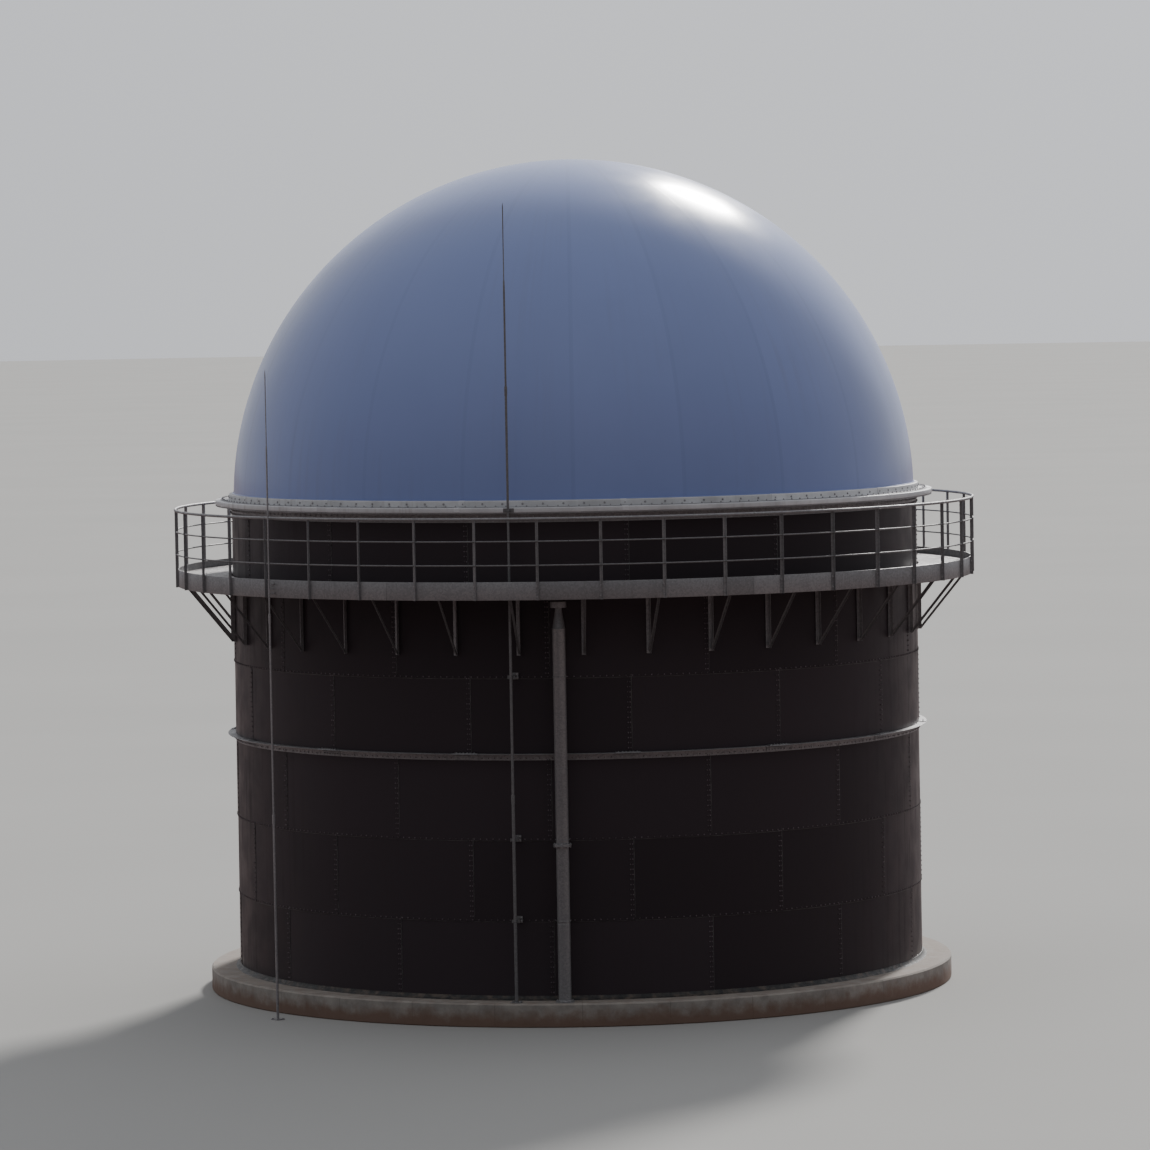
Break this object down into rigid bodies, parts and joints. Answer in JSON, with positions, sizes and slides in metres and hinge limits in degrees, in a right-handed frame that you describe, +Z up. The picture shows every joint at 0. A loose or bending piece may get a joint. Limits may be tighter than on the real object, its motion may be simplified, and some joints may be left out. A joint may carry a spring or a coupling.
{
  "type": "double membrane biogas holder",
  "caption": "Round bolted steel tank with an inflated double membrane dome clamped to its rim, a railed walkway on brackets, lightning masts and a caged ladder.",
  "frame": {"origin": "centre of the foundation's underside, at ground level", "axes": "+Z up; -Y towards the side that the picture shows; +X to the right of that view"},
  "size_m": [12.51, 13.2457, 12.85],
  "materials": {
    "concrete": "weathered cast concrete",
    "black_enamel": "glass enamel, semi-gloss black",
    "galvanised_steel": "dull hot-dip galvanised",
    "pale_rail": "pale grey, satin",
    "outer_fabric": "coated fabric, pale blue, satin sheen",
    "inner_fabric": "coated fabric, off-white"
  },
  "bodies": {
    "root": {"foundation_slab": "concrete", "shell_course_1": "black_enamel", "shell_course_2": "black_enamel", "shell_course_3": "black_enamel", "shell_course_4": "black_enamel", "shell_course_5": "black_enamel", "shell_course_6": "black_enamel", "wall_stiffener_ring": "galvanised_steel", "rim_ring": "galvanised_steel", "walkway_sector_1": "galvanised_steel", "walkway_sector_2": "galvanised_steel", "walkway_sector_3": "galvanised_steel", "walkway_sector_4": "galvanised_steel", "walkway_sector_5": "galvanised_steel", "walkway_sector_6": "galvanised_steel", "walkway_sector_7": "galvanised_steel", "handrail_panel_1": "galvanised_steel", "handrail_panel_2": "galvanised_steel", "handrail_panel_3": "galvanised_steel", "handrail_panel_4": "galvanised_steel", "handrail_panel_5": "galvanised_steel", "handrail_panel_6": "galvanised_steel", "handrail_panel_7": "galvanised_steel", "handrail_panel_8": "galvanised_steel", "handrail_panel_9": "galvanised_steel", "handrail_panel_10": "galvanised_steel", "handrail_panel_11": "galvanised_steel", "handrail_panel_12": "galvanised_steel", "handrail_panel_13": "galvanised_steel", "handrail_panel_14": "galvanised_steel", "lightning_mast_front": "galvanised_steel", "lightning_mast_left": "galvanised_steel", "process_pipe": "galvanised_steel", "ladder": "galvanised_steel", "ladder_cage": "galvanised_steel", "manway_neck": "black_enamel", "manway_cover": "black_enamel", "membrane_anchor_rail": "pale_rail", "outer_membrane": "outer_fabric", "inner_membrane": "inner_fabric"}
  },
  "joints": []
}
